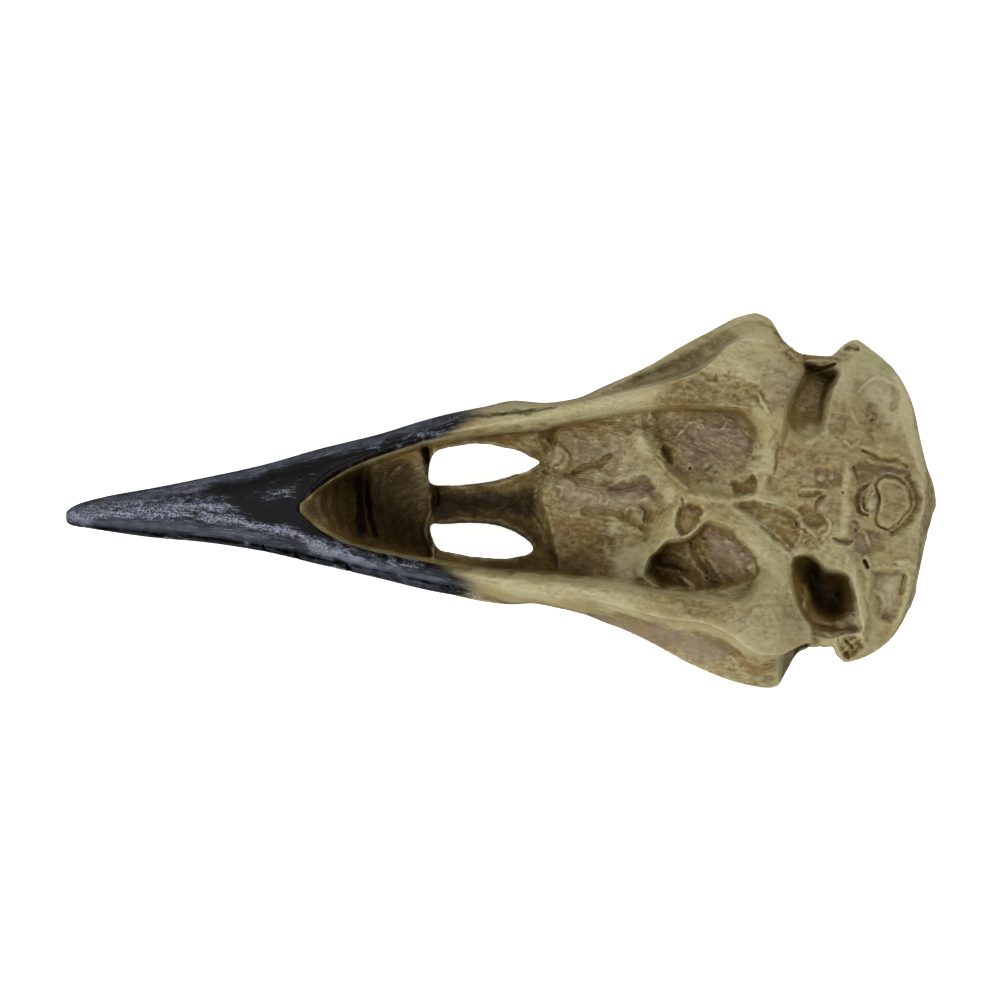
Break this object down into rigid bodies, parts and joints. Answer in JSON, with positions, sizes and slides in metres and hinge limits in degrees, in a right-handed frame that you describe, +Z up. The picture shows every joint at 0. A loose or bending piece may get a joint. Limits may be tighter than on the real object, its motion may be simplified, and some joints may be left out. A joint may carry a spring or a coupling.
{
  "type": "cast resin crow skull model",
  "caption": "Life-size painted cast of a crow skull with closed bill and lower jaw, lying on its crown to show the underside.",
  "frame": {"origin": "on the table, below the middle of the bounding box", "axes": "+X from the tip of the bill to the back of the head, +Z up, which is out of the underside of the head"},
  "size_m": [0.0951, 0.0408, 0.029],
  "materials": {
    "bone": "satin, hand-painted old bone with brown wash",
    "horn": "satin black with dry-brushed silver streaks"
  },
  "bodies": {
    "root": {"upper_bill": "horn", "lower_bill": "horn", "nasal_frame": "bone", "jaw_left": "bone", "jaw_right": "bone", "cheek_left": "bone", "cheek_right": "bone", "palate": "bone", "skull_base": "bone", "occiput": "bone", "orbital_roof": "bone", "braincase": "bone"}
  },
  "joints": []
}
